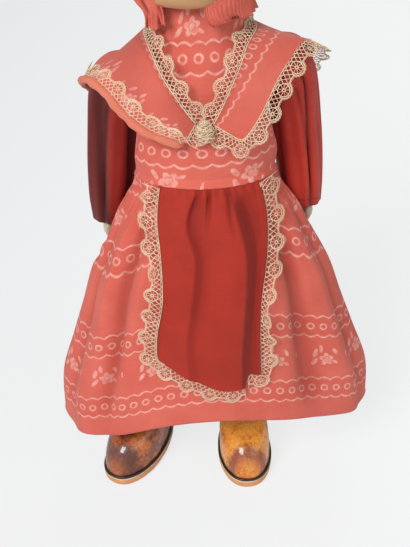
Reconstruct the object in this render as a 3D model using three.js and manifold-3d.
// A jointed cloth doll in a print dress, plain apron, lace-edged fichu and bonnet.
// Millimetres, +Z up. The doll faces -Y and stands on its soles at z = 0.
import * as THREE from "three";
import { mergeVertices } from "three/addons/utils/BufferGeometryUtils.js";
import Module from "manifold-3d";

const wasm = await Module();
wasm.setup();

// Levels of the stuffed body.
const CROTCH_Z = 146;
const HIP_Z = 163;
const WAIST_Z = 216;
const CHEST_Z = 256;
const SHOULDER_Z = 276;
const COLLAR_Z = 306;
const COLLAR_RISE = 6.5;
const NECK_Z = 313.5;

// Half widths and half depths of the stuffed body.
const HIP_BLOCK = 17.2;
const HIP_DEPTH = 20;
const WAIST_WIDTH = 35.5;
const WAIST_DEPTH = 23.5;
const CHEST_WIDTH = 32.6;
const CHEST_DEPTH = 24.6;
const NECK_WIDTH = 14;
const NECK_DEPTH = 13;

// Cloth, clearances and trim widths.
const CLOTH = 1;
const EASE = 0.5;
const SEAM_GAP = 0.3;
const LACE = 0.7;
const BODICE_FULLNESS = 0.8;
const APRON_LACE_WIDTH = 9;
const APRON_LACE_GAP = 0.95;
const FICHU_INNER_LACE = 7;
const FICHU_OUTER_LACE = 9;
const BONNET_LACE_WIDTH = 5;

// Garment levels.
const BODICE_LOW_Z = 212;
const GATHER_Z = 214;
const BAND_LOW_Z = 219.5;
const BAND_TOP_Z = 223;
const WAIST_RISE = 3.5;
const PETTICOAT_TOP_Z = BODICE_LOW_Z - 2.5;
const HEM_FRONT_Z = 78;
const HEM_SIDE_Z = 48;
const HEM_BACK_Z = 68;
const HEM_LEAN = 2;
const HEM_WIDTH = 101;
const HEM_DEPTH = 52.5;
const PETTICOAT_RISE = 24;
const SKIRT_FOLDS = 12;
const APRON_CORNER_Z = 117;
const APRON_LOW_Z = 105;

// Arms: the hinge lies level and is turned out to the back.
const ARM_PIVOT = new THREE.Vector3(38.5, 4, SHOULDER_Z);
const ARM_YAW = 36;
const LEFT_SHOULDER_DROP = 6;
const ARM_RADIUS = 11;
const WRIST_RADIUS = 6.6;
const ARM_DROP = 88;
const HAND_LENGTH = 15;
const ARM_SWEEP = 48;

// Legs: the hinges lie level from side to side.
const HIP_RADIUS = 14;
const ANKLE_RADIUS = 10.6;
const ANKLE_Z = 32;
const LEFT_ANKLE = { x: -47, y: 12.5, turn: 29 };
const RIGHT_ANKLE = { x: 18.5, y: 10, turn: 2 };
const STOCKING_TOP_Z = 116;
const DRAWERS_TOP_Z = 150;
const DRAWERS_HEM_Z = 94;

// Shoes.
const SHOE_LENGTH = 70;
const SHOE_HALF_WIDTH = 18.6;
const HEEL_HALF_WIDTH = 15.4;
const SHOE_AHEAD = 13;
const SOLE_HEIGHT = 6.6;
const WELT_HEIGHT = 1.6;
const UPPER_WALL = 1.3;
const SHOE_BACK_Z = 37;

// Head.
const HEAD_TURN = -28;
const CHIN_Z = 318;
const HEAD_WIDTH = 24.5;
const HEAD_DEPTH = 25.5;
const HEAD_HEIGHT = 62;
const CROWN_Z = CHIN_Z + HEAD_HEIGHT;
const HAIR = 1.6;
const BRIM_WIDTH = 13;

// Joint hardware: fibre discs on a crimped pin.
const DISC_RADIUS = 8;
const DISC_THICKNESS = 1.6;
const PIN_RADIUS = 1;
const PIN_REACH = 5.2;
const PIN_HEAD_RADIUS = 2.4;
const PIN_HEAD = 0.9;

const RIGHT = 1;
const LEFT = -1;
const TURN = 2 * Math.PI;
const UP = new THREE.Vector3(0, 0, 1);

const radians = THREE.MathUtils.degToRad;
const mix = THREE.MathUtils.lerp;
const clamp = THREE.MathUtils.clamp;
const smooth = (x, from, to) => {
  const t = clamp((x - from) / (to - from), 0, 1);
  return t * t * (3 - 2 * t);
};
const vec = (x, y, z) => new THREE.Vector3(x, y, z);

function finish(color, roughness, metalness = 0) {
  return new THREE.MeshStandardMaterial({ color, roughness, metalness });
}

const materials = {
  print: () => finish(0xd45c56, 0.9),
  red: () => finish(0xbe3a30, 0.7),
  lace: () => finish(0xd9cdb4, 0.95),
  calico: () => finish(0xc4976a, 0.9),
  mitten: () => finish(0xd7cdb4, 0.95),
  cotton: () => finish(0xece6d8, 0.95),
  stocking: () => finish(0xe6ddca, 0.95),
  hair: () => finish(0x5a3a22, 0.9),
  upper: () => finish(0x7a3d16, 0.25),
  welt: () => finish(0x241812, 0.5),
  sole: () => finish(0xd99a6c, 0.6),
  fibre: () => finish(0x9a7a52, 0.85),
  pin: () => finish(0x9a9a98, 0.4, 1),
};

// A smooth curve through rows of [key, value, value, ...], given in rising order of the key.
function table(rows) {
  const slope = (i, k) => {
    const a = rows[Math.max(i - 1, 0)];
    const b = rows[Math.min(i + 1, rows.length - 1)];
    return (b[k] - a[k]) / (b[0] - a[0]);
  };
  return (key) => {
    const x = clamp(key, rows[0][0], rows[rows.length - 1][0]);
    let i = 0;
    while (i < rows.length - 2 && x > rows[i + 1][0]) i += 1;
    const span = rows[i + 1][0] - rows[i][0];
    const t = (x - rows[i][0]) / span;
    return rows[i].slice(1).map((start, k) => {
      const end = rows[i + 1][k + 1];
      const m0 = slope(i, k + 1) * span;
      const m1 = slope(i + 1, k + 1) * span;
      const t2 = t * t;
      const t3 = t2 * t;
      return (2 * t3 - 3 * t2 + 1) * start + (t3 - 2 * t2 + t) * m0 + (3 * t2 - 2 * t3) * end + (t3 - t2) * m1;
    });
  };
}

function geometryFrom(points, triangles) {
  const geometry = new THREE.BufferGeometry();
  geometry.setAttribute("position", new THREE.Float32BufferAttribute(points.flatMap((p) => [p.x, p.y, p.z]), 3));
  geometry.setIndex(triangles.flat());
  return geometry;
}

function quad(a, b, c, d) {
  return [[a, b, c], [a, c, d]];
}

// The surface normals of a grid of points, with u across and v along it.
function gridNormals(points, across, along, wrap) {
  const column = (i) => (wrap ? (i + across) % across : clamp(i, 0, across - 1));
  const at = (i, j) => points[clamp(j, 0, along - 1) * across + column(i)];
  return points.map((_, index) => {
    const i = index % across;
    const j = Math.floor(index / across);
    const du = at(i + 1, j).clone().sub(at(i - 1, j));
    const dv = at(i, j + 1).clone().sub(at(i, j - 1));
    return du.cross(dv).normalize();
  });
}

// A sheet of cloth: the surface is its outer face and the thickness lies behind it.
function cloth(surface, columns, rows, thickness, wrap = false) {
  const across = wrap ? columns : columns + 1;
  const along = rows + 1;
  const outer = [];
  for (let j = 0; j < along; j += 1) {
    for (let i = 0; i < across; i += 1) outer.push(surface(i / columns, j / rows));
  }
  const normals = gridNormals(outer, across, along, wrap);
  const inner = outer.map((p, k) => p.clone().addScaledVector(normals[k], -thickness));
  const back = outer.length;
  const at = (i, j) => j * across + (i % across);
  const triangles = [];
  for (let i = 0; i < columns; i += 1) {
    for (let j = 0; j < rows; j += 1) {
      triangles.push(...quad(at(i, j), at(i + 1, j), at(i + 1, j + 1), at(i, j + 1)));
      triangles.push(...quad(back + at(i, j), back + at(i, j + 1), back + at(i + 1, j + 1), back + at(i + 1, j)));
    }
    triangles.push(...quad(back + at(i, 0), back + at(i + 1, 0), at(i + 1, 0), at(i, 0)));
    triangles.push(...quad(at(i, rows), at(i + 1, rows), back + at(i + 1, rows), back + at(i, rows)));
  }
  if (!wrap) {
    for (let j = 0; j < rows; j += 1) {
      triangles.push(...quad(at(0, j), at(0, j + 1), back + at(0, j + 1), back + at(0, j)));
      triangles.push(...quad(back + at(columns, j), back + at(columns, j + 1), at(columns, j + 1), at(columns, j)));
    }
  }
  return geometryFrom([...outer, ...inner], triangles);
}

// A stuffed piece: rings along v with a flat or pointed cap at both ends.
function stuffed(surface, columns, rows) {
  const points = [];
  for (let j = 0; j <= rows; j += 1) {
    for (let i = 0; i < columns; i += 1) points.push(surface(i / columns, j / rows));
  }
  const middle = (j) => {
    const ring = points.slice(j * columns, (j + 1) * columns);
    return ring.reduce((sum, p) => sum.add(p), vec(0, 0, 0)).divideScalar(columns);
  };
  const first = points.length;
  const ends = [middle(0), middle(rows)];
  points.push(...ends);
  const at = (i, j) => j * columns + (i % columns);
  const triangles = [];
  for (let i = 0; i < columns; i += 1) {
    for (let j = 0; j < rows; j += 1) {
      triangles.push(...quad(at(i, j), at(i + 1, j), at(i + 1, j + 1), at(i, j + 1)));
    }
    triangles.push([first, at(i + 1, 0), at(i, 0)], [first + 1, at(i, rows), at(i + 1, rows)]);
  }
  return geometryFrom(points, triangles);
}

// A cap of cloth: every column of the surface starts at one pole where v = 0.
function hood(surface, columns, rows, thickness) {
  const rings = [];
  for (let j = 1; j <= rows; j += 1) {
    for (let i = 0; i < columns; i += 1) rings.push(surface(i / columns, j / rows));
  }
  const normals = gridNormals(rings, columns, rows, true).map((n) => n.negate());
  const pole = surface(0, 0);
  const inner = rings.map((p, k) => p.clone().addScaledVector(normals[k], -thickness));
  const points = [...rings, pole, ...inner, pole.clone().addScaledVector(UP, -thickness)];
  const back = rings.length + 1;
  const at = (i, j) => j * columns + (i % columns);
  const triangles = [];
  for (let i = 0; i < columns; i += 1) {
    triangles.push([rings.length, at(i, 0), at(i + 1, 0)]);
    triangles.push([back + rings.length, back + at(i + 1, 0), back + at(i, 0)]);
    for (let j = 0; j < rows - 1; j += 1) {
      triangles.push(...quad(at(i, j), at(i, j + 1), at(i + 1, j + 1), at(i + 1, j)));
      triangles.push(...quad(back + at(i, j), back + at(i + 1, j), back + at(i + 1, j + 1), back + at(i, j + 1)));
    }
    const rim = rows - 1;
    triangles.push(...quad(at(i, rim), back + at(i, rim), back + at(i + 1, rim), at(i + 1, rim)));
  }
  return geometryFrom(points, triangles);
}

function solid(geometry) {
  const plain = new THREE.BufferGeometry();
  plain.setAttribute("position", geometry.getAttribute("position").clone());
  plain.setIndex(geometry.index ? geometry.index.clone() : null);
  const merged = mergeVertices(plain, 1e-4);
  return new wasm.Manifold(new wasm.Mesh({
    numProp: 3,
    vertProperties: Float32Array.from(merged.getAttribute("position").array),
    triVerts: Uint32Array.from(merged.index.array),
  }));
}

function geometryOf(manifold) {
  const mesh = manifold.getMesh();
  const geometry = new THREE.BufferGeometry();
  geometry.setAttribute("position", new THREE.BufferAttribute(Float32Array.from(mesh.vertProperties), 3));
  geometry.setIndex(new THREE.BufferAttribute(Uint32Array.from(mesh.triVerts), 1));
  return geometry;
}

function joined(...geometries) {
  return geometryOf(geometries.map(solid).reduce((a, b) => a.add(b)));
}

function cut(geometry, ...tools) {
  return geometryOf(tools.map(solid).reduce((a, b) => a.subtract(b), solid(geometry)));
}

// Left-hand copies of a sheet keep their face outside when u runs the other way.
function sided(surface, side) {
  return side === RIGHT ? surface : (u, v) => surface(1 - u, v);
}

function part(parent, name, geometry, material) {
  const mesh = new THREE.Mesh(geometry, material);
  mesh.name = name;
  parent.add(mesh);
  return mesh;
}

function frame(parent, position, turn = 0) {
  const group = new THREE.Group();
  group.position.copy(position);
  group.rotation.z = radians(turn);
  parent.add(group);
  return group;
}

// A cylinder from start to end.
function rod(start, end, radius, sides = 20) {
  const geometry = new THREE.CylinderGeometry(radius, radius, start.distanceTo(end), sides);
  const along = end.clone().sub(start).normalize();
  geometry.applyQuaternion(new THREE.Quaternion().setFromUnitVectors(vec(0, 1, 0), along));
  const middle = start.clone().add(end).multiplyScalar(0.5);
  return geometry.translate(middle.x, middle.y, middle.z);
}

// A turned profile of [radius, height] points, laid along a direction from the origin.
function turned(profile, direction, sides = 12) {
  const geometry = new THREE.LatheGeometry(profile.map(([r, h]) => new THREE.Vector2(r, h)), sides);
  return geometry.applyQuaternion(new THREE.Quaternion().setFromUnitVectors(vec(0, 1, 0), direction));
}

function ellipsoid(centre, radii, across = 16, down = 10) {
  const geometry = new THREE.SphereGeometry(1, across, down);
  geometry.rotateX(Math.PI / 2);
  geometry.scale(radii.x, radii.y, radii.z);
  return geometry.translate(centre.x, centre.y, centre.z);
}

function atLevels(levels, share) {
  const k = share * (levels.length - 1);
  const i = Math.min(Math.floor(k + 1e-6), levels.length - 2);
  return mix(levels[i], levels[i + 1], k - i);
}

// Sections of the stuffed body: half width, half depth and the place of the middle in Y.
const bodyAt = table([
  [CROTCH_Z, 9, 9, 0],
  [CROTCH_Z + 5, HIP_BLOCK - 1.5, HIP_DEPTH - 3, 0],
  [HIP_Z, HIP_BLOCK, HIP_DEPTH, 0],
  [HIP_Z + HIP_RADIUS - 2, HIP_BLOCK, HIP_DEPTH, 0],
  [HIP_Z + HIP_RADIUS + 4, HIP_BLOCK, HIP_DEPTH, 0],
  [HIP_Z + HIP_RADIUS + 13, WAIST_WIDTH - 3.5, WAIST_DEPTH - 0.5, 0],
  [WAIST_Z - 8, WAIST_WIDTH, WAIST_DEPTH, 0],
  [WAIST_Z + 20, WAIST_WIDTH - 0.4, WAIST_DEPTH + 0.8, -0.3],
  [CHEST_Z, CHEST_WIDTH, CHEST_DEPTH, -0.5],
  [SHOULDER_Z, CHEST_WIDTH - 2.4, CHEST_DEPTH - 2.4, 0],
  [SHOULDER_Z + 12, CHEST_WIDTH - 4, CHEST_DEPTH - 5.2, 1],
  [COLLAR_Z - 9, CHEST_WIDTH - 9, CHEST_DEPTH - 8, 1.6],
  [COLLAR_Z - 3, NECK_WIDTH + 2.5, NECK_DEPTH + 1.5, 1.2],
  [COLLAR_Z, NECK_WIDTH, NECK_DEPTH, 0.8],
  [NECK_Z - SEAM_GAP, NECK_WIDTH - 1, NECK_DEPTH - 0.5, 0],
]);

// Heights of the rings that the body and the bodice over it have in common.
const hipLevels = [
  CROTCH_Z, CROTCH_Z + 5, HIP_Z, HIP_Z + HIP_RADIUS + 4, HIP_Z + HIP_RADIUS + 13, WAIST_Z - 8,
];
const chestLevels = [
  BODICE_LOW_Z, WAIST_Z + 14, WAIST_Z + 27, CHEST_Z, CHEST_Z + 10, SHOULDER_Z, SHOULDER_Z + 8,
  SHOULDER_Z + 14, COLLAR_Z - 9, COLLAR_Z - 3, COLLAR_Z,
];

function ringPoint(section, angle, offset, z) {
  const [width, depth, middle] = section;
  return vec((width + offset) * Math.cos(angle), middle + (depth + offset) * Math.sin(angle), z);
}

// The bodice follows the body, with a high front that stands away from the neck.
const collarAt = table([
  [COLLAR_Z - 12, 26.6, 19.6, 1.6],
  [COLLAR_Z - 6, 25, 18.4, 1.6],
  [COLLAR_Z, 23, 17.2, 1.6],
]);

function bodicePoint(angle, z, offset = 0) {
  const lift = EASE + CLOTH + BODICE_FULLNESS * smooth(z, COLLAR_Z - 20, COLLAR_Z - 50) + offset;
  const body = bodyAt(z).map((value, k) => value + (k < 2 ? lift : 0));
  const collar = collarAt(z).map((value, k) => value + (k < 2 ? offset : 0));
  const rise = smooth(z, COLLAR_Z - 16, COLLAR_Z - 7);
  const section = body.map((value, k) => mix(value, Math.max(value, collar[k]), rise));
  return ringPoint(section, angle, 0, z);
}

// Limb rows: [z drop, out, back, tilt, radius outwards, radius to the back]. At tilt 0 the
// ring lies in the plane of the hinge, and at tilt 90 it lies level.
function limbPoint(rowsAt, side, angle, key, offset = 0, offsetBack = offset) {
  const [out, back, drop, tilt, radius, radiusBack] = rowsAt(key);
  const lean = radians(tilt);
  const r = (radius + offset) * Math.sin(angle);
  return vec(
    side * (out + r * Math.sin(lean)),
    back + (radiusBack + offsetBack) * Math.cos(angle),
    drop + r * Math.cos(lean),
  );
}

const ARM_ELBOW = 50;
const armRows = [
  [0, SEAM_GAP, 0, 0, 0, ARM_RADIUS, ARM_RADIUS],
  [1, 4.6, 0, -0.8, 22, ARM_RADIUS, ARM_RADIUS],
  [2, 9, 0, -5, 52, ARM_RADIUS - 0.6, ARM_RADIUS],
  [3, 11.6, 0.2, -14, 76, ARM_RADIUS - 1.2, ARM_RADIUS - 0.4],
  [4, 14.4, 0.4, -30, 84, ARM_RADIUS - 1.6, ARM_RADIUS - 0.8],
  [5, 17.6, 0.6, -ARM_ELBOW, 86, ARM_RADIUS - 2, ARM_RADIUS - 1.4],
  [6, 20.6, 0.8, -ARM_ELBOW - 20, 88, ARM_RADIUS - 2.8, ARM_RADIUS - 2.4],
  [7, 22.4, 1, -ARM_DROP, 90, WRIST_RADIUS, WRIST_RADIUS + 0.8],
];
const armAt = table(armRows);

function armPoint(side, u, v) {
  return limbPoint(armAt, side, TURN * u, atLevels(armKeys, v));
}

// The sleeve is cut full, with soft upright folds, and narrows a little at the cuff.
const SLEEVE_FOLDS = 6;
const sleeveFullness = table([
  [0, 0, 0],
  [1, 0.2, 0.3],
  [2, 0.4, 0.8],
  [3, 0.8, 1.2],
  [4, 0.9, 1.4],
  [5, 1.2, 1.8],
  [6, 1.2, 1.9],
  [6.9, 1.6, 1.6],
]);
const armKeys = [0, 1, 2, 3, 4, 5.4, 7];
const sleeveKeys = [0.12, 1, 2, 3, 4, 5.4, 6.86];

function sleevePoint(side, u, v, offset = 0) {
  const key = atLevels(sleeveKeys, v);
  const angle = TURN * u;
  const [full, fullBack] = sleeveFullness(key);
  const fold = 0.5 * smooth(key, 2, 4) * (1 + Math.cos(SLEEVE_FOLDS * angle + 1.1));
  const lift = EASE + CLOTH + fold + offset;
  return limbPoint(armAt, side, angle, key, lift + full, lift + fullBack);
}

// The left shoulder sags below the right one.
function shoulderAt(side) {
  const drop = side === LEFT ? LEFT_SHOULDER_DROP : 0;
  return vec(side * ARM_PIVOT.x, ARM_PIVOT.y, ARM_PIVOT.z - drop);
}

// Places of the sleeve's middle and its radius, in the doll's own frame, at a swing angle.
function sleeveRuns(side, swing) {
  const axis = vec(-Math.cos(radians(ARM_YAW)), -side * Math.sin(radians(ARM_YAW)), 0);
  const runs = [];
  for (let key = 0.5; key <= 8.01; key += 0.5) {
    const [out, back, drop, , radius, radiusBack] = armAt(Math.min(key, 7));
    const below = Math.max(key - 7, 0) * HAND_LENGTH;
    const cover = key > 7 ? 0 : EASE + CLOTH + 2.2;
    const local = vec(side * out, back, drop - below);
    local.applyAxisAngle(UP, side * radians(ARM_YAW)).applyAxisAngle(axis, radians(swing));
    local.add(shoulderAt(side));
    runs.push({ at: local, radius: Math.max(radius, radiusBack) + cover });
  }
  return runs;
}

function distanceToRuns(runs, point) {
  let nearest = Infinity;
  const line = new THREE.Line3();
  const foot = vec(0, 0, 0);
  for (let k = 0; k < runs.length - 1; k += 1) {
    line.set(runs[k].at, runs[k + 1].at);
    const t = line.closestPointToPointParameter(point, true);
    line.at(t, foot);
    nearest = Math.min(nearest, foot.distanceTo(point) - mix(runs[k].radius, runs[k + 1].radius, t));
  }
  return nearest;
}

const sweptRuns = new Map([LEFT, RIGHT].map((side) => [
  side,
  [0, 8, 16, 24, 32, 40, ARM_SWEEP].map((swing) => sleeveRuns(side, swing)),
]));

// The seam at the waist is higher before than behind.
function waistRise(angle) {
  return WAIST_RISE * smooth(-Math.sin(angle), -0.3, 0.9);
}

// A section between the hem and the gathers: shares of the height, width and depth.
function gown(height, width, depth, middle, inset) {
  return [
    mix(HEM_FRONT_Z, GATHER_Z, height),
    mix(HEM_WIDTH - 3.5, WAIST_WIDTH + 5, width) - inset,
    mix(HEM_DEPTH + 1.5, WAIST_DEPTH + 5.6, depth) - inset * 0.62,
    middle,
  ];
}

// The skirt's sections, from its gathers at the waist to the hem.
const skirtAt = table([
  [HEM_SIDE_Z - 8, HEM_WIDTH, HEM_DEPTH + 2, 1.5],
  gown(0, 0, 0, 1.5, 0),
  gown(0.22, 0.18, 0.085, 1.2, 0),
  gown(0.41, 0.34, 0.18, 0.6, 0),
  gown(0.6, 0.49, 0.33, -0.8, 0),
  gown(0.787, 0.71, 0.57, -1.9, 0),
  gown(0.897, 0.842, 0.78, -1.4, 0),
  gown(1, 1, 1, -0.3, 0),
  [BAND_TOP_Z + WAIST_RISE, WAIST_WIDTH + 3.9, WAIST_DEPTH + 5, -0.2],
]);

function skirtFold(angle, z) {
  const depth = 0.3 + 2.4 * smooth(z, GATHER_Z, HEM_FRONT_Z);
  const front = smooth(Math.abs(angle / Math.PI + 0.5), 0.34, 0.16);
  const wave = Math.cos(SKIRT_FOLDS * angle) + 0.45 * Math.cos((SKIRT_FOLDS - 6) * angle + 1.9);
  return depth * wave * (1 - 0.85 * front) * smooth(z, BAND_TOP_Z, GATHER_Z - 8) - depth * 0.2;
}

// Moves a place below the waist inwards until the hanging and swinging sleeves clear it.
function clearOfSleeves(point, keep) {
  const side = point.x < 0 ? LEFT : RIGHT;
  if (point.z >= GATHER_Z - 2 || point.z <= 150) return point;
  const need = Math.min(...sweptRuns.get(side).map((runs) => distanceToRuns(runs, point)));
  if (need >= keep) return point;
  const inward = vec(-point.x, -point.y, 0).normalize();
  return point.addScaledVector(inward, (keep - need) * 1.15);
}

function skirtPoint(angle, z, offset = 0) {
  const point = ringPoint(skirtAt(z), angle, skirtFold(angle, z) + offset, z);
  return clearOfSleeves(point, EASE + 1 + offset);
}

// The hem hangs low at the sides and rises in front and behind, more steeply on the left.
function hemZ(angle) {
  const across = Math.cos(angle);
  const facing = Math.sin(angle);
  const middle = facing < 0 ? HEM_FRONT_Z : HEM_BACK_Z;
  const steepness = facing < 0 ? mix(4.2, 2.1, (1 + across) / 2) : 2;
  return mix(HEM_SIDE_Z, middle, Math.abs(facing) ** steepness) + HEM_LEAN * across;
}

// Rows of the skirt close up towards the waist, and the last one lies under the band.
const SKIRT_ROWS = 7;

function skirtSurface(u, v) {
  const angle = TURN * u - Math.PI;
  const t = Math.min((v * SKIRT_ROWS) / (SKIRT_ROWS - 1), 1);
  const top = BAND_TOP_Z + waistRise(angle);
  const z = v > 0.99 ? top : mix(hemZ(angle), GATHER_Z, 1 - (1 - t) ** 1.35);
  return skirtPoint(angle, z);
}

const petticoatAt = table([
  [HEM_SIDE_Z, HEM_WIDTH - 9, HEM_DEPTH - 4.5, 1.4],
  gown(0, 0, 0, 1.2, 9.2),
  gown(0.22, 0.18, 0.085, 1.1, 7.9),
  gown(0.41, 0.34, 0.18, 0.5, 7.4),
  gown(0.6, 0.49, 0.33, -0.8, 7.4),
  gown(0.787, 0.71, 0.57, -1.6, 9.6),
  gown(0.897, 0.842, 0.78, -1, 8.4),
  [PETTICOAT_TOP_Z, WAIST_WIDTH + 1.5, WAIST_DEPTH + 1.5, 0],
]);

function petticoatSurface(u, v) {
  const angle = TURN * u;
  const z = mix(hemZ(angle) + PETTICOAT_RISE, PETTICOAT_TOP_Z, v);
  const wave = 0.7 * Math.cos(8 * angle) * smooth(z, 190, 100);
  return clearOfSleeves(ringPoint(petticoatAt(z), angle, wave, z), 3 * EASE + 3 * CLOTH + 1.5);
}

// A place on the front of the skirt at x and z, stood off by the offset.
function frontOfSkirt(x, z, offset) {
  const [width, depth, middle] = skirtAt(z);
  const reach = clamp(x / width, -0.999, 0.999);
  const fold = skirtFold(-Math.acos(reach), z);
  const low = 1 - (x / (width + offset)) ** 2;
  return vec(x, middle - (depth + fold + offset) * Math.sqrt(Math.max(low, 0)), z);
}

// The apron hangs from the waist's seam: left edge, right edge and lower edge.
const apronLevel = (share) => mix(APRON_LOW_Z, BAND_LOW_Z, share);
const apronEdgesAt = table([
  [APRON_LOW_Z, -31.5, 27],
  [apronLevel(0.17), -33, 26.5],
  [apronLevel(0.31), -32, 26.5],
  [apronLevel(0.5), -27.5, 27.5],
  [apronLevel(0.74), -27, 31],
  [apronLevel(0.88), -28, 31.5],
  [BAND_LOW_Z + WAIST_RISE, -25.5, 28.5],
]);

function apronFloor(u) {
  const lowest = 0.85;
  return mix(APRON_LOW_Z, APRON_CORNER_Z, (Math.abs(u - lowest) / lowest) ** 1.6);
}

// Each panel stands forward towards its right edge and drops back past it.
const foldLinesAt = table([
  [0, 0.38, 0.66],
  [0.2, 0.27, 0.74],
  [0.36, 0.32, 0.8],
  [0.62, 0.29, 0.83],
  [1, 0.3, 0.8],
]);

function apronFold(u, v) {
  const [first, last] = foldLinesAt(1 - v);
  const hang = smooth(v, 1, 0.86) * (1 - 0.35 * smooth(v, 0.3, 0));
  const left = 1.6 * smooth(u, 0.02, first - 0.06) * smooth(u, first + 0.08, first - 0.04);
  const middle = 3.6 * smooth(u, first, last - 0.06) * smooth(u, last + 0.07, last - 0.05);
  return (left + middle) * hang;
}

const APRON_OFFSET = EASE + CLOTH + 0.9;

function apronPoint(u, v, stand = 0) {
  const seat = -Math.acos(mix(-25.5, 28.5, clamp(u, 0, 1)) / (WAIST_WIDTH + 5));
  const top = BAND_LOW_Z - SEAM_GAP + waistRise(seat);
  const floor = apronFloor(clamp(u, 0, 1));
  const z = mix(floor, top, 1 - (1 - v) ** 1.3);
  const [left, right] = apronEdgesAt(Math.max(z, APRON_LOW_Z));
  const x = mix(left, right, u);
  return frontOfSkirt(x, z, APRON_OFFSET + apronFold(u, v) + stand);
}

// Lace follows the apron's free edge: down the left, along the bottom and up the right.
function apronEdge(s) {
  if (s <= 1 / 3) return [0, 1 - 3 * s];
  if (s >= 2 / 3) return [1, 3 * s - 2];
  return [3 * s - 1, 0];
}

function apronLacePoint(s, w) {
  const [u, v] = apronEdge(s);
  const edge = apronPoint(u, v);
  const ahead = apronPoint(...apronEdge(Math.min(s + 0.02, 1)));
  const behind = apronPoint(...apronEdge(Math.max(s - 0.02, 0)));
  const run = ahead.sub(behind).normalize();
  const out = vec(run.z, 0, -run.x).normalize();
  const reach = APRON_LACE_GAP + w * APRON_LACE_WIDTH;
  const x = edge.x + out.x * reach;
  const z = edge.z + out.z * reach;
  return frontOfSkirt(x, z, APRON_OFFSET + 0.3);
}

// How far a place lies outside the bodice and the sleeves.
function clearOfDress(point) {
  const z = clamp(point.z, BODICE_LOW_Z, COLLAR_Z);
  const east = bodicePoint(0, z);
  const north = bodicePoint(Math.PI / 2, z);
  const south = bodicePoint(-Math.PI / 2, z);
  const middle = (north.y + south.y) / 2;
  const depth = (north.y - south.y) / 2;
  const round = Math.hypot(point.x / east.x, (point.y - middle) / depth);
  const slope = Math.hypot(point.x / east.x ** 2, (point.y - middle) / depth ** 2);
  const outside = ((round - 1) * round) / Math.max(slope, 1e-6);
  const above = point.z - COLLAR_Z;
  const bodice = above > 0 ? Math.hypot(Math.max(outside, 0), above) : outside;
  const side = point.x < 0 ? LEFT : RIGHT;
  return Math.min(bodice, distanceToRuns(sweptRuns.get(side)[0], point));
}

// Lifts a place of the fichu until it lies clear of the dress below it.
function draped(point, gap) {
  const p = point.clone();
  const step = 0.05;
  for (let k = 0; k < 14; k += 1) {
    const here = clearOfDress(p);
    if (here >= gap) break;
    const slope = vec(
      clearOfDress(p.clone().add(vec(step, 0, 0))) - here,
      clearOfDress(p.clone().add(vec(0, step, 0))) - here,
      clearOfDress(p.clone().add(vec(0, 0, step))) - here,
    );
    if (slope.lengthSq() < 1e-12) break;
    p.addScaledVector(slope.normalize(), Math.min(gap - here + 0.02, 3));
  }
  return p;
}

// Fichu rows from the knot over the shoulder to the centre back: inner edge, outer edge.
const fichuBack = [
  [8, 18, 19.4, 298, 52, 30, 261],
  [9, 9, 22, 297.4, 29, 33, 249],
  [10, SEAM_GAP / 2, 22.6, 297, SEAM_GAP / 2, 32, 243],
];
const fichuRows = new Map([
  [RIGHT, table([
    [0, 4, -30, 259, 19, -30.5, 249],
    [1, 8.4, -29.6, 267, 26.5, -29, 259],
    [2, 13, -29, 277, 32, -27, 269],
    [3, 18, -26.5, 287, 37.5, -23, 279],
    [4, 22, -20, 296, 45, -16, 288],
    [5, 26.4, -11, 299, 52, -6, 292],
    [6, 28, 1, 299.6, 58, 6, 287],
    [7, 25.4, 12.6, 299, 60, 21, 275],
    ...fichuBack,
  ])],
  [LEFT, table([
    [0, 4, -30, 260, 10, -31, 250.5],
    [1, 9, -29.6, 267, 18.5, -30.5, 258],
    [2, 14, -29, 275, 28.5, -28.5, 265],
    [3, 19.5, -26.5, 284, 36, -24, 271],
    [4, 24, -20, 293, 43, -17, 277.5],
    [5, 26.8, -11, 297.5, 51, -8, 281],
    [6, 28.4, 1, 298.4, 56.5, 4, 277],
    [7, 25.6, 12.6, 298.6, 57, 20, 268],
    ...fichuBack,
  ])],
]);
const FICHU_SPAN = 10;

function fichuPoint(side, w, s, stand = 0) {
  const [ix, iy, iz, ox, oy, oz] = fichuRows.get(side)(FICHU_SPAN * s);
  const inner = vec(ix, iy, iz);
  const outer = vec(ox, oy, oz);
  const width = inner.distanceTo(outer);
  const across = outer.clone().sub(inner).normalize();
  const point = inner.addScaledVector(across, w < 0 ? w : w > 1 ? width + (w - 1) : w * width);
  point.x *= side;
  return draped(point, EASE + CLOTH + stand);
}

function fichuLace(side, from, to, stand) {
  return (u, v) => fichuPoint(side, mix(from, to, u), v, stand);
}

// Sections of the head above the neck: half width, half depth and middle in Y.
const headLevel = (share) => CHIN_Z + share * HEAD_HEIGHT;
const headAt = table([
  [NECK_Z + SEAM_GAP, NECK_WIDTH - 2, NECK_DEPTH - 1.5, 0.5],
  [CHIN_Z - 1, HEAD_WIDTH - 10.5, HEAD_DEPTH - 7.1, -2.6],
  [headLevel(0.05), HEAD_WIDTH - 7, HEAD_DEPTH - 4.9, -2.8],
  [headLevel(0.195), HEAD_WIDTH - 2.6, HEAD_DEPTH - 2.3, -1.4],
  [headLevel(0.435), HEAD_WIDTH, HEAD_DEPTH, 0],
  [headLevel(0.645), HEAD_WIDTH - 0.8, HEAD_DEPTH - 0.2, 0.8],
  [headLevel(0.82), HEAD_WIDTH - 6, HEAD_DEPTH - 6, 1.4],
  [headLevel(0.945), HEAD_WIDTH - 13, HEAD_DEPTH - 13, 1.6],
  [CROWN_Z, 3, 3, 1.6],
]);

// Heights of the rings over the skull, from the top down, shared by the head and its covers.
const domeLevels = [1, 0.98, 0.927, 0.82, 0.68, 0.515, 0.325].map(headLevel);
const jawLevels = [headLevel(0.195), headLevel(0.05), CHIN_Z - 1, NECK_Z + SEAM_GAP];

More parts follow.
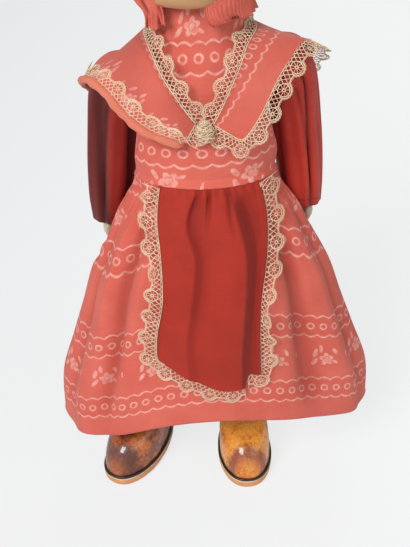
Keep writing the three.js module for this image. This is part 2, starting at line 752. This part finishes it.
function headPoint(angle, z, offset) {
  const top = smooth(z, CROWN_Z - 26, CROWN_Z);
  const point = ringPoint(headAt(z), angle, offset * (1 - 0.3 * top), z);
  point.z += offset * top;
  return point;
}

// A fringe of wool is sewn along the hairline, from temple to temple.
const HAIR_HALF_ANGLE = 76;
const HAIRLINE_Z = CROWN_Z - 19;

function hairSurface(u, v) {
  const across = 2 * u - 1;
  const angle = -Math.PI / 2 + radians(HAIR_HALF_ANGLE) * across;
  const low = HAIRLINE_Z - 24 * across * across;
  return headPoint(angle, mix(low, CROWN_Z - 5, v), 2 * EASE + HAIR);
}

// The bonnet's crown covers the head behind a face opening that lies in one sloping plane.
const crownOffset = 2 * EASE + HAIR + CLOTH + 0.9;
const CROWN_LOW_Z = CHIN_Z + 6;
const OPENING_LOW_Y = -8;
const OPENING_TOP_Y = -12;

function openingY(z) {
  return mix(OPENING_LOW_Y, OPENING_TOP_Y, (z - CROWN_LOW_Z) / (CROWN_Z - CROWN_LOW_Z));
}

function crownSurface(u, v) {
  const angle = TURN * u;
  const z = atLevels([...domeLevels, CROWN_LOW_Z], v);
  const puff = 2.5 * smooth(Math.sin(angle), -0.2, 0.7) * Math.sin(Math.PI * v);
  return v === 0 ? vec(0, 1.6, CROWN_Z + crownOffset) : headPoint(angle, z, crownOffset + puff);
}

// Where the opening's plane meets the crown at a level; its sine falls past -1 over the top.
function openingSine(z) {
  const front = headPoint(-Math.PI / 2, z, crownOffset);
  const back = headPoint(Math.PI / 2, z, crownOffset);
  return (2 * openingY(front.z) - front.y - back.y) / (back.y - front.y);
}

function openingTop() {
  let low = CROWN_Z - 30;
  let high = CROWN_Z;
  for (let k = 0; k < 40; k += 1) {
    const middle = (low + high) / 2;
    if (openingSine(middle) > -1) low = middle;
    else high = middle;
  }
  return low;
}

function crownRim(share) {
  const z = mix(CROWN_LOW_Z, openingTop(), Math.sin((share * Math.PI) / 2));
  const point = headPoint(Math.asin(clamp(openingSine(z), -1, 1)), z, crownOffset);
  return [share < 1 ? point.x : 0, point.y, point.z];
}

function faceCutter() {
  const size = vec(90, 50, 120);
  const slope = Math.atan2(OPENING_LOW_Y - OPENING_TOP_Y, CROWN_Z - CROWN_LOW_Z);
  const box = new THREE.BoxGeometry(size.x, size.y, size.z).translate(0, -size.y / 2, 0);
  return box.rotateX(slope).translate(0, OPENING_LOW_Y, CROWN_LOW_Z);
}

// The bonnet's brim frames the face: its inner edge arches over it from side to side.
const brimRows = table([
  [0, 17.5, -23, CHIN_Z - 2],
  [1, 23.5, -17.5, CHIN_Z + 3],
  [2, ...crownRim(0.08)],
  [3, ...crownRim(0.3)],
  [4, ...crownRim(0.55)],
  [5, ...crownRim(0.8)],
  [6, ...crownRim(1)],
]);

function brimPoint(u, w) {
  const along = 12 * u;
  const side = along < 6 ? -1 : 1;
  const key = along < 6 ? along : 12 - along;
  const [x, y, z] = brimRows(key);
  const [x1, , z1] = brimRows(Math.min(key + 0.1, 6));
  const [x0, , z0] = brimRows(Math.max(key - 0.1, 0));
  const run = new THREE.Vector2(x1 - x0, z1 - z0).normalize();
  const out = vec(run.y, 0, -run.x);
  const ruffle = 1.3 * Math.cos(TURN * 9 * u) * clamp(w / BRIM_WIDTH, 0, 1.4);
  const reach = w + 2 * EASE;
  const flare = out.multiplyScalar(0.55 * reach + ruffle).add(vec(0, -0.8 * reach, 0));
  const point = vec(x, y, z).add(flare);
  point.x *= side;
  return point;
}

function curtainSurface(u, v) {
  const angle = mix(-0.06, 1.06, u) * Math.PI;
  const z = mix(COLLAR_Z + 1.6, CHIN_Z + 5.2, v);
  const section = [mix(28, 22.6, v), mix(28.5, 22.4, v), mix(-0.5, -0.6, v)];
  return ringPoint(section, angle, 0.8 * Math.cos(13 * angle) * (1 - v), z);
}

// The shoe's outline at an angle from the inner side, ahead of the ankle towards -Y.
function shoeOutline(angle, inset = 0) {
  const along = -Math.sin(angle);
  const half = mix(HEEL_HALF_WIDTH, SHOE_HALF_WIDTH, smooth(along, -0.9, 0.35)) - inset;
  const square = (value, power) => Math.sign(value) * Math.abs(value) ** power;
  const reach = SHOE_LENGTH / 2 - inset;
  return vec(half * square(Math.cos(angle), 0.86), -SHOE_AHEAD - reach * square(along, 0.92), 0);
}

const soleAt = table([
  [0, 1.8],
  [SOLE_HEIGHT * 0.25, 0.5],
  [SOLE_HEIGHT * 0.6, 0],
  [SOLE_HEIGHT, 0.9],
]);

function soleSurface(u, v) {
  const z = v * SOLE_HEIGHT;
  return shoeOutline(TURN * u, soleAt(z)[0]).setZ(z);
}

function weltSurface(u, v) {
  const z = SOLE_HEIGHT + SEAM_GAP + v * WELT_HEIGHT;
  return shoeOutline(TURN * u, 0.2 + 0.3 * v).setZ(z);
}

const UPPER_LOW_Z = SOLE_HEIGHT + WELT_HEIGHT + 2 * SEAM_GAP;
const ANKLE_OPENING = ANKLE_RADIUS + CLOTH + 3 * EASE + UPPER_WALL;

function upperSurface(u, v) {
  const angle = TURN * u;
  const base = shoeOutline(angle, 1.3);
  const rim = vec(ANKLE_OPENING * Math.cos(angle), (ANKLE_OPENING + 1.5) * Math.sin(angle) - 0.6, 0);
  const arc = (v * Math.PI) / 2;
  const inwards = 1 - Math.cos(arc);
  const top = SHOE_BACK_Z - 3 * smooth(-Math.sin(angle), -0.6, 0.8);
  const point = base.lerp(rim, inwards);
  return point.setZ(mix(UPPER_LOW_Z, top, Math.sin(arc) ** 0.92));
}

// Leg rows in the frame of its hinge; the ankle is given in the doll's frame.
function legRows(ankle) {
  const out = Math.abs(ankle.x) - HIP_BLOCK - SEAM_GAP;
  const drop = ANKLE_Z - HIP_Z;
  const down = (share) => mix(-26, drop, share);
  const along = (share) => mix(14.6, out, share);
  const backward = (share) => mix(0.5, ankle.y, share ** 1.4);
  return [
    [0, SEAM_GAP, 0, 0, 0, HIP_RADIUS, HIP_RADIUS],
    [1, 6, 0, -1, 22, HIP_RADIUS, HIP_RADIUS],
    [2, 11, 0, -7, 54, HIP_RADIUS - 0.6, HIP_RADIUS],
    [3, 13.6, 0.2, -16, 78, HIP_RADIUS - 0.8, HIP_RADIUS],
    [4, along(0), backward(0), down(0), 90, HIP_RADIUS - 1, HIP_RADIUS - 0.2],
    [5, along(0.3), backward(0.3), down(0.3), 90, HIP_RADIUS - 1.8, HIP_RADIUS - 1.2],
    [6, along(0.6), backward(0.6), down(0.6), 90, HIP_RADIUS - 2, HIP_RADIUS - 1.2],
    [7, along(0.85), backward(0.85), down(0.85), 90, ANKLE_RADIUS + 0.4, ANKLE_RADIUS + 0.6],
    [8, out, ankle.y, drop, 90, ANKLE_RADIUS, ANKLE_RADIUS],
    [9, out, ankle.y, drop - 8, 90, ANKLE_RADIUS - 0.8, ANKLE_RADIUS - 0.4],
    [10, out, ankle.y, drop - 19, 90, ANKLE_RADIUS - 2.6, ANKLE_RADIUS - 1.6],
  ];
}

// The key of a leg's rows at a height above the floor.
function keyAtHeight(rowsAt, z) {
  let low = 3;
  let high = 10;
  for (let k = 0; k < 40; k += 1) {
    const middle = (low + high) / 2;
    if (HIP_Z + rowsAt(middle)[2] > z) low = middle;
    else high = middle;
  }
  return low;
}

// Shapes of the joint hardware along its axis, from the plane between two pieces.
const DISC_START = SEAM_GAP + 0.4;
const HOLE_RADIUS = PIN_RADIUS + 0.4;

function disc(direction) {
  const end = DISC_START + DISC_THICKNESS;
  const profile = [
    [HOLE_RADIUS, DISC_START],
    [DISC_RADIUS, DISC_START],
    [DISC_RADIUS, end],
    [HOLE_RADIUS, end],
    [HOLE_RADIUS, DISC_START],
  ];
  return turned(profile, direction);
}

function pinShape(direction) {
  const shaft = PIN_REACH - PIN_HEAD;
  const profile = [
    [0, -PIN_REACH],
    [PIN_HEAD_RADIUS, -PIN_REACH],
    [PIN_HEAD_RADIUS, -shaft],
    [PIN_RADIUS, -shaft],
    [PIN_RADIUS, shaft],
    [PIN_HEAD_RADIUS, shaft],
    [PIN_HEAD_RADIUS, PIN_REACH],
    [0, PIN_REACH],
  ];
  return turned(profile, direction, 8);
}

// The recess that a disc and one end of its pin take up in a stuffed piece.
function pocket(origin, direction) {
  const discEnd = DISC_START + DISC_THICKNESS + 0.4;
  const at = (distance) => origin.clone().addScaledVector(direction, distance);
  const wide = rod(at(-1), at(discEnd), DISC_RADIUS + 0.5, 12);
  const narrow = rod(at(-1), at(PIN_REACH + 0.5), PIN_HEAD_RADIUS + 0.5, 8);
  return joined(wide, narrow);
}

function hardware(parent, name, origin, direction) {
  const place = frame(parent, origin);
  part(place, `${name}_body_disc`, disc(direction.clone().negate()), materials.fibre());
  part(place, `${name}_limb_disc`, disc(direction), materials.fibre());
  part(place, `${name}_pin`, pinShape(direction), materials.pin());
}

const doll = new THREE.Group();

// Stuffed body with shoulder stubs and a pocket for each of the five joints.
function armAxis(side) {
  return vec(side * Math.cos(radians(ARM_YAW)), Math.sin(radians(ARM_YAW)), 0);
}

const sides = [[LEFT, "left"], [RIGHT, "right"]];
const hipAt = (side) => vec(side * (HIP_BLOCK + SEAM_GAP), 0, HIP_Z);
const neckAt = vec(0, 0, NECK_Z);

const bodySurface = (u, v) => {
  const z = atLevels([...hipLevels, ...chestLevels, NECK_Z - SEAM_GAP], v);
  return ringPoint(bodyAt(z), TURN * u, 0, z);
};

function shoulderStub(side) {
  const end = shoulderAt(side).addScaledVector(armAxis(side), -SEAM_GAP);
  const start = end.clone().addScaledVector(armAxis(side), -14);
  return rod(start, end, ARM_RADIUS, 16);
}

const bodyPockets = [
  pocket(neckAt, vec(0, 0, -1)),
  ...sides.map(([side]) => pocket(shoulderAt(side), armAxis(side).negate())),
  ...sides.map(([side]) => pocket(hipAt(side), vec(-side, 0, 0))),
];
const bodyShape = joined(stuffed(bodySurface, 24, 17), shoulderStub(LEFT), shoulderStub(RIGHT));
part(doll, "torso", cut(bodyShape, ...bodyPockets), materials.calico());

// Bodice with round armholes.
const bodiceSurface = (u, v) => {
  const z = atLevels(chestLevels, v);
  const front = smooth(-Math.sin(TURN * u), 0.1, 0.9);
  const point = bodicePoint(TURN * u, z);
  point.z += COLLAR_RISE * front * smooth(z, COLLAR_Z - 9, COLLAR_Z);
  return point;
};
const armholes = sides.map(([side]) => {
  const start = shoulderAt(side).addScaledVector(armAxis(side), -16);
  const end = shoulderAt(side).addScaledVector(armAxis(side), 6);
  return rod(start, end, ARM_RADIUS + EASE, 16);
});
part(doll, "bodice", cut(cloth(bodiceSurface, 24, 10, CLOTH, true), ...armholes), materials.print());

part(doll, "petticoat", cloth(petticoatSurface, 24, 4, CLOTH, true), materials.cotton());
part(doll, "skirt", cloth(skirtSurface, 48, SKIRT_ROWS, CLOTH, true), materials.print());

// Apron, its band and its bow.
const bandSurface = (u, v) => {
  const z = mix(BAND_LOW_Z, BAND_TOP_Z, v) + waistRise(TURN * u);
  return ringPoint(skirtAt(z), TURN * u, EASE + CLOTH + 0.3, z);
};
part(doll, "apron_band", cloth(bandSurface, 32, 1, CLOTH, true), materials.red());
part(doll, "apron", cloth((u, v) => apronPoint(u, v), 18, 8, CLOTH), materials.red());
part(doll, "apron_lace", cloth((u, v) => apronLacePoint(v, 1 - u), 1, 33, LACE), materials.lace());

function bowLoop(side) {
  const loop = (u, v) => {
    const angle = TURN * u;
    const out = 10 * (1 - Math.cos(angle)) * 0.95;
    const puff = 3.2 * Math.sin(angle) * Math.sin(angle / 2) ** 0.6;
    return vec(side * (out + 1.5), puff, mix(-5, 5, v) * (0.4 + 0.6 * (out / 19)) - 0.1 * out);
  };
  return cloth(side === RIGHT ? loop : (u, v) => loop(1 - u, v), 12, 1, CLOTH, true);
}

function bowTail(side) {
  const tail = (u, v) => {
    const drop = 46 * (1 - v);
    const x = side * (2 + 0.24 * drop) + mix(-4, 4, u) * (0.5 + 0.5 * Math.min(drop / 14, 1));
    return vec(x, 1.2 + 0.3 * drop - 0.0022 * drop * drop, -2 - drop);
  };
  return cloth((u, v) => tail(1 - u, v), 1, 5, CLOTH);
}

const bandBack = bandSurface(0.25, 0.5);
const bow = frame(doll, vec(0, bandBack.y + 4, bandBack.z));
const bowKnot = ellipsoid(vec(0, 0, 0), vec(4.4, 3.6, 5.2), 12, 8);
part(bow, "apron_bow", joined(bowKnot, bowLoop(LEFT), bowLoop(RIGHT), bowTail(LEFT), bowTail(RIGHT)), materials.red());

// Fichu in two halves with a seam at the centre back, and its lace.
for (const [side, name] of sides) {
  const wing = sided((u, v) => fichuPoint(side, u, v), side);
  part(doll, `fichu_${name}`, cloth(wing, 5, 18, CLOTH), materials.print());
  const inner = sided(fichuLace(side, -FICHU_INNER_LACE, -SEAM_GAP, 0), side);
  const outer = sided(fichuLace(side, 1 + SEAM_GAP, 1 + FICHU_OUTER_LACE, 0), side);
  part(doll, `fichu_inner_lace_${name}`, cloth(inner, 1, 18, LACE), materials.lace());
  part(doll, `fichu_outer_lace_${name}`, cloth(outer, 1, 18, LACE), materials.lace());
}
const knotSeat = fichuPoint(RIGHT, 0, 0).y;
const KNOT = vec(6.5, 4.2, 5.6);
const knotAt = vec(0, knotSeat - 0.88 * KNOT.y, 256.4);
part(doll, "lace_knot", ellipsoid(knotAt, KNOT, 12, 7), materials.lace());

// Head, hair and bonnet.
const head = frame(doll, vec(0, 0, 0), HEAD_TURN);
const headSurface = (u, v) => {
  const z = atLevels([...domeLevels, ...jawLevels], 1 - v);
  return headPoint(TURN * u, z, 0);
};
part(head, "head", cut(stuffed(headSurface, 24, 10), pocket(neckAt, UP)), materials.calico());
part(head, "hair", cloth(hairSurface, 12, 3, HAIR), materials.hair());
part(head, "bonnet_crown", cut(hood(crownSurface, 24, 7, CLOTH), faceCutter()), materials.print());
const brimSurface = (u, v) => brimPoint(u, mix(0, BRIM_WIDTH, 1 - v));
part(head, "bonnet_brim", cloth(brimSurface, 36, 1, CLOTH), materials.print());
const brimLace = (u, v) => brimPoint(u, mix(BRIM_WIDTH + SEAM_GAP, BRIM_WIDTH + BONNET_LACE_WIDTH, 1 - v));
part(head, "bonnet_lace", cloth(brimLace, 36, 1, LACE), materials.lace());
part(head, "bonnet_curtain", cloth(curtainSurface, 22, 1, CLOTH), materials.print());
hardware(head, "neck", neckAt, UP);

// Arms: a stuffed arm with a mitten hand, and its sleeve.
for (const [side, name] of sides) {
  const shoulder = frame(doll, shoulderAt(side), side * ARM_YAW);
  const [out, back, drop] = armAt(7);
  const palm = ellipsoid(
    vec(side * (out + 0.4), back - 0.4, drop - HAND_LENGTH / 2 + 2),
    vec(4.8, 7.2, HAND_LENGTH / 2 + 2),
    10,
    7,
  );
  const thumb = ellipsoid(vec(side * (out - 0.2), back - 6.4, drop - 3.5), vec(2.7, 3, 5.4), 8, 5);
  const limb = stuffed(sided((u, v) => armPoint(side, u, v), side), 18, 6);
  const shape = cut(joined(limb, palm, thumb), pocket(vec(0, 0, 0), vec(side, 0, 0)));
  part(shoulder, `arm_${name}`, shape, materials.mitten());
  const sleeve = sided((u, v) => sleevePoint(side, u, v), side);
  part(shoulder, `sleeve_${name}`, cloth(sleeve, 18, 6, CLOTH, true), materials.red());
  hardware(shoulder, `shoulder_${name}`, vec(0, 0, 0), vec(side, 0, 0));
}

// Legs: a stuffed leg and foot, stocking, drawers leg and shoe.
for (const [side, name] of sides) {
  const ankle = side === LEFT ? LEFT_ANKLE : RIGHT_ANKLE;
  const hip = frame(doll, hipAt(side));
  const rowsAt = table(legRows(ankle));
  const ring = (offset) => (angle, key) => limbPoint(rowsAt, side, angle, key, offset);
  const leg = stuffed(sided((u, v) => ring(0)(TURN * u, 10 * v), side), 14, 12);
  const turn = side * radians(ankle.turn);
  const foot = ellipsoid(vec(0, -17, 0), vec(11.5, 21, 8.6), 12, 7);
  foot.rotateZ(turn);
  foot.translate(side * (Math.abs(ankle.x) - HIP_BLOCK - SEAM_GAP), ankle.y, UPPER_LOW_Z + 9.2 - HIP_Z);
  const shape = cut(joined(leg, foot), pocket(vec(0, 0, 0), vec(side, 0, 0)));
  part(hip, `leg_${name}`, shape, materials.calico());

  const tube = (from, to, offset) => sided((u, v) => {
    const key = mix(keyAtHeight(rowsAt, from), keyAtHeight(rowsAt, to), v);
    return ring(offset(v, TURN * u))(TURN * u, key);
  }, side);
  const stocking = tube(STOCKING_TOP_Z, ANKLE_Z, () => EASE + CLOTH);
  part(hip, `stocking_${name}`, cloth(stocking, 14, 4, CLOTH, true), materials.stocking());
  const loose = (v, angle) => EASE + CLOTH + 2.4 * smooth(v, 0, 0.3) + 0.4 * smooth(v, 0.2, 0.8) * Math.cos(7 * angle);
  const drawers = tube(DRAWERS_TOP_Z, DRAWERS_HEM_Z, loose);
  part(hip, `drawers_${name}`, cloth(drawers, 14, 4, CLOTH, true), materials.cotton());
  hardware(hip, `hip_${name}`, vec(0, 0, 0), vec(side, 0, 0));

  const place = vec(side * (Math.abs(ankle.x) - HIP_BLOCK - SEAM_GAP), ankle.y, -HIP_Z);
  const shoe = frame(hip, place, side * ankle.turn);
  part(shoe, `shoe_sole_${name}`, stuffed(soleSurface, 22, 3), materials.sole());
  part(shoe, `shoe_welt_${name}`, stuffed(weltSurface, 22, 1), materials.welt());
  part(shoe, `shoe_upper_${name}`, cloth(upperSurface, 22, 5, UPPER_WALL, true), materials.upper());
}

export default doll;
